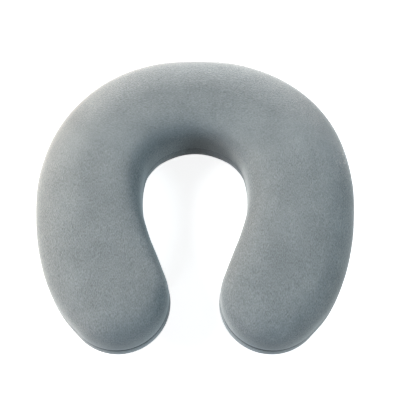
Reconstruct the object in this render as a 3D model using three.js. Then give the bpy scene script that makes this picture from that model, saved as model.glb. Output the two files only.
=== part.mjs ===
// A U-shaped travel pillow: a filled foam body in a fitted cover of short-pile cloth. The cover
// is an upper and a lower panel that meet in one turned seam, all round at mid height.
// Millimetres, +Z up. The back of the pillow is towards +Y and its two legs towards -Y.
// The origin is on the surface that it lies on, under the middle of its outline.

import * as THREE from 'three';

// The seam's height above the surface that the pillow lies on, and how far its own weight
// presses the underside flat.
const SEAM_HEIGHT = 48;
const SETTLE = 1.5;

// The seam draws both panels in to a narrow groove.
const SEAM_DEPTH = 2.2;
const SEAM_HALF_HEIGHT = 1.8;

// How square a section is: 2 is an ellipse, and more is fuller at the shoulders. The upper
// panel falls away steeply on the inside of the U, and its outside has a column in the sections.
const INNER_FULLNESS = 4;
const LOWER_FULLNESS = 2.3;

// The crest of the upper panel lies this far inside the middle of the stuffing.
const CREST_SHIFT = 2;

// The middle of the neck opening, about which the sections are turned.
const NECK_CENTRE_Y = 5;

// One row for each section, from the middle of the back round to a leg's end: its turn about
// the neck centre in degrees, the reach from there to the middle of the stuffing, half the
// width of the stuffing, the height of its crest, and how full the outside of its upper panel
// is: gently rounded at the back, and squarer towards the legs' ends.
const SECTIONS = [
  { place: 'mid back', turn: 0, reach: 94, halfWidth: 44, crest: 92, fullness: 2.1 },
  { place: 'rear', turn: 21, reach: 95.5, halfWidth: 45.5, crest: 92.5, fullness: 2.1 },
  { place: 'shoulder', turn: 42, reach: 98, halfWidth: 47, crest: 93.5, fullness: 2.1 },
  { place: 'rear side', turn: 63, reach: 99.5, halfWidth: 48.5, crest: 94.5, fullness: 2.1 },
  { place: 'side', turn: 84, reach: 99.5, halfWidth: 50, crest: 95.5, fullness: 2.1 },
  { place: 'waist', turn: 105, reach: 102, halfWidth: 50.5, crest: 96, fullness: 2.3 },
  { place: 'leg', turn: 123, reach: 108.5, halfWidth: 51.5, crest: 96, fullness: 2.75 },
  { place: 'foot', turn: 135.5, reach: 116, halfWidth: 51, crest: 95.5, fullness: 3.1 },
  { place: 'tip', turn: 145, reach: 123, halfWidth: 47.5, crest: 95.5, fullness: 3.1 },
];

// The rear shoulder on the +X side is stuffed a little fuller than the other one.
const FULL_SHOULDER = { turn: 55, reach: 98, extra: 2.5, spread: 42 };

// How finely the surface is divided.
const SPINE_STEPS = 56;
const CAP_STEPS = 12;
const UPPER_RINGS = 11;
const LOWER_RINGS = 8;

const COVER_COLOUR = 0x8f9597;

// A place that lies at a turn and a reach about the neck centre, with a third value beside it.
function placeAbout(turn, reach, value) {
  const angle = THREE.MathUtils.degToRad(turn);
  return new THREE.Vector3(reach * Math.sin(angle), NECK_CENTRE_Y + reach * Math.cos(angle), value);
}

// The rows of both legs in order, from the end of the -X leg round to the end of the +X leg.
const leftRows = SECTIONS.slice(1).reverse().map((row) => ({ ...row, turn: -row.turn }));
const rows = [...leftRows, ...SECTIONS];

// Smooth lines through the rows. Each carries the values of one column.
function lineThrough(column) {
  const points = rows.map((row) => placeAbout(row.turn, row.reach, row[column]));
  return new THREE.CatmullRomCurve3(points, false, 'catmullrom');
}
const widthLine = lineThrough('halfWidth');
const crestLine = lineThrough('crest');
const fullnessLine = lineThrough('fullness');

// One station of the spine: the middle of the stuffing, the way along it, the way out of the
// U, and how far the sides lean along the spine because the stuffing widens or narrows there.
function stationAt(share) {
  const middle = widthLine.getPoint(share);
  const slope = widthLine.getTangent(share);
  const run = Math.hypot(slope.x, slope.y);
  const along = new THREE.Vector2(slope.x / run, slope.y / run);
  return {
    centre: new THREE.Vector2(middle.x, middle.y),
    along,
    outward: new THREE.Vector2(-along.y, along.x),
    lean: Math.asin(-slope.z / run),
    halfWidth: middle.z,
    crest: crestLine.getPoint(share).z,
    fullness: fullnessLine.getPoint(share).z,
  };
}

const stations = [];
for (let step = 0; step <= SPINE_STEPS; step += 1) {
  stations.push(stationAt(step / SPINE_STEPS));
}

// Extra width outside the fuller shoulder, fading with the distance from it.
const fullPlace = placeAbout(FULL_SHOULDER.turn, FULL_SHOULDER.reach, 0);
function extraWidth(station) {
  const away = Math.hypot(station.centre.x - fullPlace.x, station.centre.y - fullPlace.y);
  return FULL_SHOULDER.extra * Math.exp(-((away / FULL_SHOULDER.spread) ** 2));
}

// The whole outline, clockwise from above: the outer side, the round end of the +X leg, the
// inner side back again, and the round end of the -X leg. Each point knows its station, its
// reach from there, and its angle from the way out of the U. That angle is square to the spine
// at the crest, and has turned by the lean at the edge.
const outline = [];
function addOutline(station, crestAngle, edgeAngle, extra = 0) {
  outline.push({ station, crestAngle, edgeAngle, reach: station.halfWidth + extra });
}
function addCap(station, crestFrom, edgeFrom, edgeTo) {
  for (let step = 1; step < CAP_STEPS; step += 1) {
    const share = step / CAP_STEPS;
    addOutline(station, crestFrom + Math.PI * share, edgeFrom + (edgeTo - edgeFrom) * share);
  }
}
const firstStation = stations[0];
const lastStation = stations[SPINE_STEPS];
for (const station of stations) {
  addOutline(station, 0, station.lean, extraWidth(station));
}
addCap(lastStation, 0, lastStation.lean, Math.PI - lastStation.lean);
for (const station of stations.slice().reverse()) {
  addOutline(station, Math.PI, Math.PI - station.lean);
}
addCap(firstStation, Math.PI, Math.PI - firstStation.lean, 2 * Math.PI + firstStation.lean);

// The upper panel's fullness at a point of the outline.
function upperFullness({ station, crestAngle }) {
  const outside = (1 + Math.cos(crestAngle)) / 2;
  return INNER_FULLNESS + (station.fullness - INNER_FULLNESS) * outside;
}

// Where a section's surface is at a tilt between the seam (0) and the crest (90 degrees): its
// share of the half-width left, and its share of the height gained.
function sectionShape(tilt, fullness) {
  const size = (Math.cos(tilt) ** fullness + Math.sin(tilt) ** fullness) ** (-1 / fullness);
  return { across: size * Math.cos(tilt), up: size * Math.sin(tilt) };
}

// The tilt at which a section has gained a share of its height.
function tiltAtHeight(share, fullness) {
  return Math.atan2(share, (1 - share ** fullness) ** (1 / fullness));
}

const vertices = [];
function addVertex(x, y, z) {
  vertices.push(x, y, z);
  return vertices.length / 3 - 1;
}

// The place at a share of the way across from the crest (0) to a point of the outline (1).
function placeAcross({ station, crestAngle, edgeAngle, reach }, share) {
  const angle = crestAngle + (edgeAngle - crestAngle) * share;
  const out = reach * share * Math.cos(angle) - CREST_SHIFT * (1 - share);
  const on = reach * share * Math.sin(angle);
  const place = station.centre.clone().addScaledVector(station.outward, out);
  return place.addScaledVector(station.along, on);
}

// One ring round the whole outline. Each of its points has a share of the way across from the
// crest to the edge, a height, and perhaps a depth by which it is drawn in from there.
function addRing(placeAt) {
  return outline.map((point) => {
    const { across, height, drawnIn = 0 } = placeAt(point);
    const place = placeAcross(point, across - drawnIn / point.reach);
    return addVertex(place.x, place.y, height);
  });
}

// The last ring of a panel is the line over or under the stations, which both sides share.
function addMiddleLine(heightAt) {
  const line = new Map();
  for (const station of stations) {
    const place = station.centre.clone().addScaledVector(station.outward, -CREST_SHIFT);
    line.set(station, addVertex(place.x, place.y, heightAt(station)));
  }
  return outline.map(({ station }) => line.get(station));
}

// The shape of one ring of a panel: the first ring is the lip of the seam's groove, and the
// others divide the tilt from there to the last one evenly.
function ringShape(ring, count, depth, fullness, last) {
  const lip = tiltAtHeight(SEAM_HALF_HEIGHT / depth, fullness);
  return sectionShape(lip + ((last - lip) * ring) / (count - 1), fullness);
}

// The rings of the upper panel, from the seam up to the crest line.
const seamRing = addRing(() => ({ across: 1, height: SEAM_HEIGHT, drawnIn: SEAM_DEPTH }));
const upperRings = [seamRing];
for (let ring = 0; ring < UPPER_RINGS - 1; ring += 1) {
  upperRings.push(addRing((point) => {
    const depth = point.station.crest - SEAM_HEIGHT;
    const shape = ringShape(ring, UPPER_RINGS, depth, upperFullness(point), Math.PI / 2);
    return { across: shape.across, height: SEAM_HEIGHT + depth * shape.up };
  }));
}
upperRings.push(addMiddleLine((station) => station.crest));

// The rings of the lower panel, down to the edge of the flat that the pillow lies on, and then
// the middle line of that flat.
const lowerDepth = SEAM_HEIGHT + SETTLE;
const flatTilt = tiltAtHeight(SEAM_HEIGHT / lowerDepth, LOWER_FULLNESS);
const lowerRings = [seamRing];
for (let ring = 0; ring < LOWER_RINGS; ring += 1) {
  const shape = ringShape(ring, LOWER_RINGS, lowerDepth, LOWER_FULLNESS, flatTilt);
  const height = ring === LOWER_RINGS - 1 ? 0 : SEAM_HEIGHT - lowerDepth * shape.up;
  lowerRings.push(addRing(() => ({ across: shape.across, height })));
}
lowerRings.push(addMiddleLine(() => 0));

// Two triangles for each field between two rings, or one where a leg's end fans out.
const triangles = [];
function addTriangle(first, second, third, upward) {
  if (first === second || second === third || third === first) {
    return;
  }
  triangles.push(...(upward ? [first, second, third] : [first, third, second]));
}
function addPanel(rings, upward) {
  for (let ring = 0; ring + 1 < rings.length; ring += 1) {
    const lower = rings[ring];
    const upper = rings[ring + 1];
    for (let point = 0; point < outline.length; point += 1) {
      const next = (point + 1) % outline.length;
      addTriangle(lower[point], upper[next], lower[next], upward);
      addTriangle(lower[point], upper[point], upper[next], upward);
    }
  }
}
addPanel(upperRings, true);
addPanel(lowerRings, false);

const geometry = new THREE.BufferGeometry();
geometry.setAttribute('position', new THREE.Float32BufferAttribute(vertices, 3));
geometry.setIndex(triangles);
geometry.computeVertexNormals();

const cover = new THREE.MeshStandardMaterial({
  color: COVER_COLOUR,
  roughness: 0.95,
  metalness: 0,
});

const pillow = new THREE.Mesh(geometry, cover);
pillow.name = 'pillow';

const group = new THREE.Group();
group.add(pillow);

export default group;
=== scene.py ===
"""A U-shaped travel pillow in grey velour, lying on a white table. Metres, +Z up."""

import math

import bpy
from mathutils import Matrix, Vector
from mathutils import noise as perlin


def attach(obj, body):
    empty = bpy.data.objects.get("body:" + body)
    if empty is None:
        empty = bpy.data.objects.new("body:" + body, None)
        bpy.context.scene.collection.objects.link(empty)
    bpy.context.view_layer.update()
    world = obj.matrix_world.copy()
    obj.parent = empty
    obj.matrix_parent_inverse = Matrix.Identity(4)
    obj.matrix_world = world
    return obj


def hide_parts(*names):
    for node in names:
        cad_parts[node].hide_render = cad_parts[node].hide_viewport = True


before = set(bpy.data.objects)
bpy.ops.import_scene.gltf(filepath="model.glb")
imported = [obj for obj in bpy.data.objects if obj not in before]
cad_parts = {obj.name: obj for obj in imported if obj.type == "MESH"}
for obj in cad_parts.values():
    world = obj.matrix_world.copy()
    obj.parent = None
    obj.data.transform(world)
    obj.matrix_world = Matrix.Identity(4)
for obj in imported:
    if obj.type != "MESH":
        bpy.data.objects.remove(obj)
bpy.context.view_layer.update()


# Camera. The photograph looks down on the pillow from about a metre away, leaning a little
# towards its two legs. The lens is long, as for a product picture.
TILT = math.radians(19.0)
DISTANCE = 0.998
LENS = 92.2
AIM = Vector((0.0048, -0.0021, 0.046))

camera_data = bpy.data.cameras.new("camera")
camera_data.lens = LENS
camera_data.sensor_width = 36.0
camera_data.clip_end = 50.0
camera = bpy.data.objects.new("camera", camera_data)
camera.location = AIM + DISTANCE * Vector((0.0, -math.sin(TILT), math.cos(TILT)))
camera.rotation_euler = (TILT, 0.0, 0.0)
bpy.context.collection.objects.link(camera)
bpy.context.scene.camera = camera
bpy.context.scene.view_settings.view_transform = "Standard"


# Studio. The pillow lies on a table of white paper that is lit from below, which keeps it white
# all round. The key is a warm soft box behind on the left, with a cooler one on either side, and
# low strips light the walls. The table sends no light to the pillow. A grey sheet does that.
PAPER_WHITE = "#f6f6f5"
PAPER_GLOW = 0.85
GREY_SHEET_GLOW = 0.2
GREY_SHEET_DEPTH = 0.001
TABLE_SIZE = 14.0
SURROUND_WHITE = "#f4f6ff"
SURROUND_STRENGTH = 0.05
SOFT_BOX_DISTANCE = 1.5
SOFT_BOXES = (
    # name, degrees clockwise from +Y, degrees up, width, watts, colour
    ("key_soft_box", 300.0, 32.0, 0.6, 23.5, "#fff3e6"),
    ("upper_left_soft_box", 270.0, 50.0, 0.6, 11.6, "#f9fbff"),
    ("right_soft_box", 90.0, 42.0, 0.6, 13.2, "#e3f6ff"),
    ("back_strip", 0.0, 3.0, 0.3, 29.0, "#fff4ef"),
    ("left_strip", 270.0, 3.0, 0.3, 8.5, "#ffe1c6"),
    ("right_strip", 92.0, 3.0, 0.3, 5.5, "#ffecdc"),
    ("front_strip", 205.0, 6.0, 0.35, 11.0, "#eaf6ff"),
)
LIT_PLACE = Vector((0.0, 0.0, 0.05))


def linear(code):
    """An sRGB hex colour as linear red, green, blue and alpha."""
    values = [int(code[i:i + 2], 16) / 255 for i in (1, 3, 5)]
    return [v / 12.92 if v <= 0.04045 else ((v + 0.055) / 1.055) ** 2.4 for v in values] + [1.0]


def add_node(material, kind, settings=None, links=None):
    """Adds a node to a material or world, with its settings and what its inputs link to."""
    node = material.node_tree.nodes.new(kind)
    for name, value in (settings or {}).items():
        if name in node.inputs:
            node.inputs[name].default_value = value
        else:
            setattr(node, name, value)
    for name, socket in (links or {}).items():
        material.node_tree.links.new(socket, node.inputs[name])
    return node


def new_material(name):
    """An empty node material."""
    material = bpy.data.materials.new(name)
    material.use_nodes = True
    material.node_tree.nodes.clear()
    return material


half_table = TABLE_SIZE / 2
table_mesh = bpy.data.meshes.new("table")
table_mesh.from_pydata(
    [(-half_table, -half_table, 0), (half_table, -half_table, 0),
     (half_table, half_table, 0), (-half_table, half_table, 0)],
    [], [(0, 1, 2, 3)])
table = bpy.data.objects.new("table", table_mesh)
bpy.context.collection.objects.link(table)
table.visible_diffuse = False

paper = new_material("matt white paper, lit from below")
paper_face = add_node(paper, "ShaderNodeBsdfDiffuse", {"Color": linear(PAPER_WHITE)})
paper_glow = add_node(paper, "ShaderNodeEmission", {"Strength": PAPER_GLOW})
paper_sum = add_node(paper, "ShaderNodeAddShader")
paper.node_tree.links.new(paper_face.outputs["BSDF"], paper_sum.inputs[0])
paper.node_tree.links.new(paper_glow.outputs["Emission"], paper_sum.inputs[1])
add_node(paper, "ShaderNodeOutputMaterial", links={"Surface": paper_sum.outputs["Shader"]})
table_mesh.materials.append(paper)

# Only the pillow sees the grey sheet, just under the table. It gives back less light than white
# paper would, which keeps the walls of the neck opening dark.
sheet_mesh = table_mesh.copy()
grey_sheet = bpy.data.objects.new("bounce_sheet", sheet_mesh)
grey_sheet.location.z = -GREY_SHEET_DEPTH
bpy.context.collection.objects.link(grey_sheet)
grey_sheet.visible_camera = False
grey_sheet.visible_shadow = False
grey_card = new_material("grey card")
card_glow = add_node(grey_card, "ShaderNodeEmission", {"Strength": GREY_SHEET_GLOW})
add_node(grey_card, "ShaderNodeOutputMaterial", links={"Surface": card_glow.outputs["Emission"]})
sheet_mesh.materials.clear()
sheet_mesh.materials.append(grey_card)

world = bpy.data.worlds.new("pale surround")
bpy.context.scene.world = world
world.use_nodes = True
surround = world.node_tree.nodes["Background"]
surround.inputs["Color"].default_value = linear(SURROUND_WHITE)
surround.inputs["Strength"].default_value = SURROUND_STRENGTH

for name, bearing, elevation, width, watts, colour in SOFT_BOXES:
    turn, rise = math.radians(bearing), math.radians(elevation)
    way = Vector((math.sin(turn) * math.cos(rise), math.cos(turn) * math.cos(rise),
                  math.sin(rise)))
    box_data = bpy.data.lights.new(name, "AREA")
    box_data.shape = "DISK"
    box_data.size = width
    box_data.energy = watts
    box_data.color = linear(colour)[:3]
    box = bpy.data.objects.new(name, box_data)
    box.location = LIT_PLACE + way * SOFT_BOX_DISTANCE
    box.rotation_euler = (-way).to_track_quat("-Z", "Y").to_euler()
    bpy.context.collection.objects.link(box)


# Pillow, its filled form. The real one is a moulded foam body in a fitted cover of short-pile
# velour, cut as an upper and a lower panel and joined by one turned seam all round at mid
# height. The rows are its sections from the middle of the back round to a leg's end.
MM = 0.001
SECTIONS = (
    # turn about the neck centre in degrees, reach, half width and crest in millimetres, and how
    # square the outer side is: 2 is an ellipse
    (0.0, 94.0, 44.0, 92.0, 2.1),
    (21.0, 95.5, 45.5, 92.5, 2.1),
    (42.0, 98.0, 47.0, 93.5, 2.1),
    (63.0, 99.5, 48.5, 94.5, 2.1),
    (84.0, 99.5, 50.0, 95.5, 2.1),
    (105.0, 102.0, 50.5, 96.0, 2.3),
    (123.0, 108.5, 51.5, 96.0, 2.75),
    (135.5, 116.0, 51.0, 95.5, 3.1),
    (145.0, 123.0, 47.5, 95.5, 3.1),
)
NECK_CENTRE = 5.0
SEAM_HEIGHT = 48.0
SETTLE = 1.5
INNER_FULLNESS = 4.0
LOWER_FULLNESS = 2.3
CREST_SHIFT = 2.0
FULL_SHOULDER = {"turn": 55.0, "reach": 98.0, "extra": 2.5, "spread": 42.0}
QUARTER = math.pi / 2


def through_rows(values, share):
    """The value and its slope at a share of the way along a smooth line through even rows."""
    last = len(values) - 1
    at = min(int(share * last), last - 1)
    t = share * last - at
    before = values[at - 1] if at > 0 else 2 * values[0] - values[1]
    after = values[at + 2] if at + 2 <= last else 2 * values[last] - values[last - 1]
    start, end = values[at], values[at + 1]
    slope_in, slope_out = (end - before) / 2, (after - start) / 2
    a = 2 * start - 2 * end + slope_in + slope_out
    b = -3 * start + 3 * end - 2 * slope_in - slope_out
    return ((a * t + b) * t + slope_in) * t + start, (3 * a * t + 2 * b) * t + slope_in


def place_about(turn, reach):
    """A place in plan at a turn and reach about the neck centre."""
    angle = math.radians(turn)
    return Vector((reach * math.sin(angle), NECK_CENTRE + reach * math.cos(angle)))


all_rows = [(-turn, *rest) for turn, *rest in SECTIONS[:0:-1]] + list(SECTIONS)
row_places = [place_about(turn, reach) for turn, reach, *_ in all_rows]
row_widths = [half for _, _, half, _, _ in all_rows]
row_crests = [crest for _, _, _, crest, _ in all_rows]
row_fullness = [fullness for *_, fullness in all_rows]
full_place = place_about(FULL_SHOULDER["turn"], FULL_SHOULDER["reach"])


def station_at(share):
    """The middle of the stuffing at a share of the way from the -X leg to the +X leg."""
    middle, slope = through_rows(row_places, share)
    half_width, widening = through_rows(row_widths, share)
    along = slope.normalized()
    outward = Vector((-along.y, along.x))
    away = (middle - full_place).length / FULL_SHOULDER["spread"]
    return {
        "middle": middle,
        "along": along,
        "outward": outward,
        "lean": math.asin(-widening / slope.length),
        "half_width": half_width,
        "extra": FULL_SHOULDER["extra"] * math.exp(-away * away),
        "crest": through_rows(row_crests, share)[0],
        "fullness": through_rows(row_fullness, share)[0],
    }


def outline_of(spine_steps, cap_steps):
    """The stations, and the outline from above, clockwise. Each of its points has its station,
    the angle from the way out of the U at the crest and at the edge, and its reach."""
    stations = [station_at(i / spine_steps) for i in range(spine_steps + 1)]
    first, last = stations[0], stations[-1]
    cap_shares = [step / cap_steps for step in range(1, cap_steps)]
    outline = [(s, 0.0, s["lean"], s["half_width"] + s["extra"]) for s in stations]
    outline += [(last, math.pi * share, last["lean"] + (math.pi - 2 * last["lean"]) * share,
                 last["half_width"]) for share in cap_shares]
    outline += [(s, math.pi, math.pi - s["lean"], s["half_width"]) for s in reversed(stations)]
    outline += [(first, math.pi * (1 + share),
                 math.pi - first["lean"] + (math.pi + 2 * first["lean"]) * share,
                 first["half_width"]) for share in cap_shares]
    return stations, outline


def fullness_at(station, angle, upper):
    """How square a panel is at an angle from the way out of the U."""
    if not upper:
        return LOWER_FULLNESS
    return INNER_FULLNESS + (station["fullness"] - INNER_FULLNESS) * (1 + math.cos(angle)) / 2


def depth_of(station, upper):
    """How far a panel reaches from the seam. What is lower than the table is pressed flat."""
    return station["crest"] - SEAM_HEIGHT if upper else SEAM_HEIGHT + SETTLE


def form_point(spot, upper, tilt):
    """A point of the form at a tilt between the seam (0) and the crest (a quarter turn)."""
    station, start, end, reach = spot
    fullness = fullness_at(station, start, upper)
    cosine, sine = max(math.cos(tilt), 0.0), math.sin(tilt)
    size = (cosine ** fullness + sine ** fullness) ** (-1 / fullness)
    across = size * cosine
    angle = start + (end - start) * across
    way = station["outward"] * math.cos(angle) + station["along"] * math.sin(angle)
    plan = station["middle"] - station["outward"] * CREST_SHIFT * (1 - across)
    plan += way * reach * across
    rise = depth_of(station, upper) * size * sine
    height = SEAM_HEIGHT + rise if upper else max(SEAM_HEIGHT - rise, 0.0)
    return Vector((plan.x, plan.y, height))


def lay_out(spine_steps, cap_steps, tilts_of):
    """Both panels as points, what each is (panel, place in the outline, tilt), and rings."""
    stations, outline = outline_of(spine_steps, cap_steps)
    points, spots, rings = [], [], {}
    for upper in (True, False):
        tilts = [tilts_of(depth_of(station, upper), fullness_at(station, start, upper))
                 for station, start, _, _ in outline]
        rings[upper] = [] if upper else [rings[True][0]]
        for ring in range(0 if upper else 1, len(tilts[0])):
            rings[upper].append([len(points) + k for k in range(len(outline))])
            for k, spot in enumerate(outline):
                points.append(form_point(spot, upper, tilts[k][ring]))
                spots.append((upper, k, tilts[k][ring]))
        middle = {id(station): len(points) + k for k, station in enumerate(stations)}
        rings[upper].append([middle[id(station)] for station, *_ in outline])
        for k, station in enumerate(stations):
            points.append(form_point((station, 0.0, 0.0, 0.0), upper, QUARTER))
            spots.append((upper, k, QUARTER))
    return points, spots, rings


def make_mesh(name, points, rings):
    """A closed mesh of both panels, with one face for each field between two rings."""
    faces = []
    for upper, panel in rings.items():
        for low, high in zip(panel, panel[1:]):
            for k, corner in enumerate(low):
                after = (k + 1) % len(low)
                corners = [corner, high[k], high[after], low[after]]
                corners = [c for at, c in enumerate(corners) if c not in corners[:at]]
                faces.append(corners if upper else corners[::-1])
    mesh = bpy.data.meshes.new(name)
    mesh.from_pydata([p * MM for p in points], [], faces)
    mesh.validate()
    for face in mesh.polygons:
        face.use_smooth = True
    return mesh


# The cover blown up. The foam presses the velour outwards while the seam and the table hold it,
# so it is simulated as cloth under pressure, on a coarse copy of the form. How far each place
# moves is kept, and the fine mesh of the cover takes it over.
SIM_SPINE_STEPS = 50
SIM_CAP_STEPS = 14
SIM_RINGS = 14
SIM_FRAMES = 20
SIM_PRESSURE = 30.0
SIM_STIFFNESS = {"tension_stiffness": 60.0, "compression_stiffness": 60.0,
                 "shear_stiffness": 30.0, "bending_stiffness": 40.0}
SMOOTHINGS = 12
MOST_MOVE = 4.0
LEAST_MOVE = 1e-6
FINER = 3


def even_tilts(_depth, _fullness):
    """Rings at even tilts for the coarse copy, whatever the panel's depth and fullness."""
    return [QUARTER * ring / SIM_RINGS for ring in range(SIM_RINGS)]


def blown_up(points, rings):
    """How far cloth under pressure moves from each point, with the seam and underside held."""
    mesh = make_mesh("cloth_copy", points, rings)
    cloth = bpy.data.objects.new("cloth_copy", mesh)
    bpy.context.collection.objects.link(cloth)
    held = cloth.vertex_groups.new(name="held")
    held.add(rings[True][0] + [i for i, p in enumerate(points) if p.z <= 0.0], 1.0, "REPLACE")
    modifier = cloth.modifiers.new("cloth", "CLOTH")
    settings = modifier.settings
    settings.use_pressure = True
    settings.uniform_pressure_force = SIM_PRESSURE
    for name, stiffness in SIM_STIFFNESS.items():
        setattr(settings, name, stiffness)
    settings.vertex_group_mass = "held"
    settings.effector_weights.gravity = 0.0
    scene = bpy.context.scene
    for step in range(1, SIM_FRAMES + 1):
        scene.frame_set(step)
    settled = cloth.evaluated_get(bpy.context.evaluated_depsgraph_get()).to_mesh()
    moves = [vertex.co / MM - point for vertex, point in zip(settled.vertices, points)]
    moves = [move * min(1.0, MOST_MOVE / max(move.length, LEAST_MOVE)) for move in moves]
    neighbours = [[] for _ in points]
    for edge in mesh.edges:
        first, second = edge.vertices
        neighbours[first].append(second)
        neighbours[second].append(first)
    for _ in range(SMOOTHINGS):
        around = [sum((moves[k] for k in near), Vector()) / len(near) for near in neighbours]
        moves = [(move + mean) / 2 if move.length > 0.0 else move
                 for move, mean in zip(moves, around)]
    scene.frame_set(1)
    bpy.data.objects.remove(cloth)
    bpy.data.meshes.remove(mesh)
    return moves


sim_points, _, sim_rings = lay_out(SIM_SPINE_STEPS, SIM_CAP_STEPS, even_tilts)
sim_moves = blown_up(sim_points, sim_rings)


def spline_weights(t):
    """Weights of four even values for a smooth line at t between the middle two."""
    return ((-t + 2 * t * t - t ** 3) / 2, (2 - 5 * t * t + 3 * t ** 3) / 2,
            (t + 4 * t * t - 3 * t ** 3) / 2, (t ** 3 - t * t) / 2)


def move_at(upper, place, tilt):
    """The simulated move at a place in the fine outline and a tilt of the section."""
    panel, other = sim_rings[upper], sim_rings[not upper]
    size = len(panel[0])
    ring, at_ring = divmod(tilt / QUARTER * SIM_RINGS, 1)
    column, at_column = divmod(place / FINER, 1)
    total = Vector((0.0, 0.0, 0.0))
    for i, ring_weight in enumerate(spline_weights(at_ring), int(ring) - 1):
        row = other[-i] if i < 0 else panel[min(i, SIM_RINGS)]
        for k, weight in enumerate(spline_weights(at_column), int(column) - 1):
            total += sim_moves[row[k % size]] * (ring_weight * weight)
    return total


# Cover. Two panels of velour, sewn right side in and turned, so that the seam lies in a narrow
# groove between two rolled lips. The thread gathers the cloth a little beside it. On the outside
# the curve pulls the groove open, and inside the neck opening it closes. Sizes in millimetres.
SEAM_RING_HEIGHTS = (0.0, 0.45, 0.9, 1.35, 1.8, 2.3, 2.8, 3.4, 4.1, 5.0, 6.2, 7.8)
PANEL_RINGS = 44
GROOVE_DEPTH = 2.4
GROOVE_HALF = 1.1
LIPS = (
    # height above the seam, rise and half height: the thread's pull, the upper and the lower lip
    (0.0, -1.8, 5.0),
    (2.4, 0.8, 1.2),
    (-11.0, 1.0, 8.0),
)
# The first two are distances from the neck centre. The third is how open a closed seam stays.
SEAM_CLOSED_WITHIN = 62.0
SEAM_OPEN_BEYOND = 92.0
SEAM_LEAST_OPEN = 0.08
# Painted shade: a dark line drawn into the colour in the seam's groove, just below the seam.
SEAM_SHADE_BAND = {"at": -1.6, "half": 1.3}
LIP_PAINTED_HIGHLIGHT_BANDS = (
    # height above the seam, half height and share of painted highlight: on the lower and upper lip
    (-6.5, 4.0, 0.35),
    (2.6, 1.5, 0.25),
)
GATHER = 0.12
GATHER_LENGTH = 9.0
GATHER_FADE = 6.0
UNEVEN = ((0.22, 46.0), (0.07, 17.0))


def cover_tilts(depth, fullness):
    """Rings close together at the seam, and then at even tilts up to the crest."""
    shares = [height / depth for height in SEAM_RING_HEIGHTS]
    tilts = [math.atan2(share, (1 - share ** fullness) ** (1 / fullness)) for share in shares]
    step = (QUARTER - tilts[-1]) / PANEL_RINGS
    return tilts + [tilts[-1] + step * ring for ring in range(1, PANEL_RINGS)]


points, spots, rings = lay_out(SIM_SPINE_STEPS * FINER, SIM_CAP_STEPS * FINER, cover_tilts)
for index, (upper, place, tilt) in enumerate(spots):
    points[index] += move_at(upper, place, tilt)
    points[index].z = max(points[index].z, 0.0)
cover_mesh = make_mesh("pillow_cover", points, rings)


def band(height, at, half):
    """A soft band round a height: 1 in its middle, and about a third at its half height."""
    return math.exp(-((height - at) / half) ** 2)


def openness(point):
    """How far the seam is pulled open: all round, but for the neck opening, where it closes."""
    away = math.hypot(point.x, point.y - NECK_CENTRE)
    share = (away - SEAM_CLOSED_WITHIN) / (SEAM_OPEN_BEYOND - SEAM_CLOSED_WITHIN)
    return SEAM_LEAST_OPEN + (1 - SEAM_LEAST_OPEN) * min(max(share, 0.0), 1.0)


def seam_relief(height):
    """How far the cover stands out at a height above or below the seam."""
    lips = sum(rise * band(height, at, half) for at, rise, half in LIPS)
    return lips - GROOVE_DEPTH * band(height, 0.0, GROOVE_HALF)


# Two painted bands for the velour: painted shade in the seam's groove and a painted highlight on
# its lips. Both fade where the seam closes in the neck opening.
painted_seam_shade = cover_mesh.attributes.new("painted_seam_shade", "FLOAT", "POINT")
painted_lip_highlight = cover_mesh.attributes.new("painted_lip_highlight", "FLOAT", "POINT")
normals = [vertex.normal.copy() for vertex in cover_mesh.vertices]
for vertex, point, normal in zip(cover_mesh.vertices, points, normals):
    height = point.z - SEAM_HEIGHT
    opened = openness(point)
    painted_seam_shade.data[vertex.index].value = opened * band(height, **SEAM_SHADE_BAND)
    painted_lip_highlight.data[vertex.index].value = opened * sum(
        share * band(height, at, half) for at, half, share in LIP_PAINTED_HIGHLIGHT_BANDS)
    relief = opened * seam_relief(height)
    gather = perlin.noise(Vector((point.x, point.y, 0.0)) / GATHER_LENGTH)
    relief += GATHER * gather * math.exp(-abs(height) / GATHER_FADE)
    relief += sum(rise * perlin.noise(point / length) for rise, length in UNEVEN)
    if point.z > 0.0:
        place = (point + normal * relief) * MM
        vertex.co = (place.x, place.y, max(place.z, 0.0))
cover_mesh.update()
cover = bpy.data.objects.new("pillow_cover", cover_mesh)
bpy.context.collection.objects.link(cover)


# Velour. Short-pile polyester velour, brushed along the legs and across the back: matt from above
# and paler where the pile is seen from the side, with a painted highlight on the seam's lips and
# painted shade down in the seam.
# Its short strokes are drawn about twice as wide as the real ones, so that they show.
PILE_DARK = "#6d7477"
PILE_PALE = "#8f979a"
PILE_TIPS = "#ced4d6"
# Painted shade in the seam's groove.
SEAM_PAINTED_SHADE = "#22272a"
# Painted highlight on the seam's lips.
LIP_PAINTED_HIGHLIGHT = "#d4dadc"
SHEEN_NARROWNESS = 6.0
STROKE_WIDTH = 0.6
STROKE_STRETCH = 0.33
BRUSHED_ACROSS_FROM = 20.0
BRUSHED_ACROSS_TO = 75.0
PATCH_WIDTH = 26.0
PATCH_SHARE = 0.3
STROKE_RANGE = (0.42, 0.88)
STROKE_RISE = 1.3
MIX_COLOUR_INPUTS = (6, 7)
MIX_COLOUR_OUTPUT = 2

velour = new_material("brushed polyester velour, grey")
wire = velour.node_tree.links.new
object_place = add_node(velour, "ShaderNodeTexCoord").outputs["Object"]


def strokes(stretch):
    """Fine noise in millimetre-sized strokes, longer along the axis with the smaller stretch."""
    mapping = add_node(velour, "ShaderNodeMapping", {"Scale": stretch}, {"Vector": object_place})
    noise = add_node(velour, "ShaderNodeTexNoise", {
        "Scale": 1 / (STROKE_WIDTH * MM), "Detail": 1.0, "Roughness": 0.5},
        {"Vector": mapping.outputs["Vector"]})
    return noise.outputs["Fac"]


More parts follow.
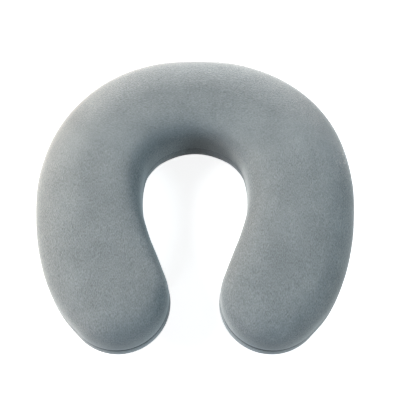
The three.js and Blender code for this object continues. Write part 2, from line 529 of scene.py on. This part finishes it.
axes = add_node(velour, "ShaderNodeSeparateXYZ", links={"Vector": object_place})
brushed_across = add_node(velour, "ShaderNodeMapRange", {
    "From Min": BRUSHED_ACROSS_FROM * MM, "From Max": BRUSHED_ACROSS_TO * MM},
    {"Value": axes.outputs["Y"]})
pile = add_node(velour, "ShaderNodeMix", {"data_type": "FLOAT"},
                {"Factor": brushed_across.outputs["Result"]})
wire(strokes((1.0, STROKE_STRETCH, STROKE_STRETCH)), pile.inputs["A"])
wire(strokes((STROKE_STRETCH, 1.0, 1.0)), pile.inputs["B"])
patches = add_node(velour, "ShaderNodeTexNoise", {
    "Scale": 1 / (PATCH_WIDTH * MM), "Detail": 3.0, "Roughness": 0.5}, {"Vector": object_place})
tone = add_node(velour, "ShaderNodeMath", {"operation": "MULTIPLY_ADD"})
wire(patches.outputs["Fac"], tone.inputs[0])
tone.inputs[1].default_value = PATCH_SHARE
wire(pile.outputs["Result"], tone.inputs[2])
shade = add_node(velour, "ShaderNodeMapRange", {
    "From Min": STROKE_RANGE[0], "From Max": STROKE_RANGE[1]}, {"Value": tone.outputs["Value"]})


def mixed(share, first, second):
    """A colour between two. Either is a hex code or what another node gives."""
    node = add_node(velour, "ShaderNodeMix", {"data_type": "RGBA"})
    wire(share, node.inputs["Factor"])
    for place, colour in zip(MIX_COLOUR_INPUTS, (first, second)):
        if isinstance(colour, str):
            node.inputs[place].default_value = linear(colour)
        else:
            wire(colour, node.inputs[place])
    return node.outputs[MIX_COLOUR_OUTPUT]


def share_of(name):
    """The share that the mesh gives one of the bands along the seam."""
    return add_node(velour, "ShaderNodeAttribute", {"attribute_name": name}).outputs["Fac"]


brushed = mixed(shade.outputs["Result"], PILE_DARK, PILE_PALE)
# The painted highlight on the seam's lips.
with_lip_highlight = mixed(share_of("painted_lip_highlight"), brushed, LIP_PAINTED_HIGHLIGHT)
# Over that, the painted shade in the seam's groove.
with_seam_shade = mixed(share_of("painted_seam_shade"), with_lip_highlight, SEAM_PAINTED_SHADE)
bump = add_node(velour, "ShaderNodeBump", {"Strength": 1.0, "Distance": STROKE_RISE * MM},
                {"Height": pile.outputs["Result"]})
shader = add_node(velour, "ShaderNodeBsdfPrincipled", {
    "Roughness": 0.95, "Sheen Weight": 0.4, "Sheen Roughness": 0.3,
    "Specular IOR Level": 0.1},
    {"Base Color": with_seam_shade, "Normal": bump.outputs["Normal"]})
sideways = add_node(velour, "ShaderNodeLayerWeight", {"Blend": 0.5})
sheen_share = add_node(velour, "ShaderNodeMath", {"operation": "POWER"})
wire(sideways.outputs["Facing"], sheen_share.inputs[0])
sheen_share.inputs[1].default_value = SHEEN_NARROWNESS
tips = add_node(velour, "ShaderNodeBsdfDiffuse", {"Color": linear(PILE_TIPS)})
surface = add_node(velour, "ShaderNodeMixShader", links={"Fac": sheen_share.outputs["Value"]})
wire(shader.outputs["BSDF"], surface.inputs[1])
wire(tips.outputs["BSDF"], surface.inputs[2])
add_node(velour, "ShaderNodeOutputMaterial", links={"Surface": surface.outputs["Shader"]})
cover_mesh.materials.append(velour)

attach(cover, "root")
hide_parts("pillow")
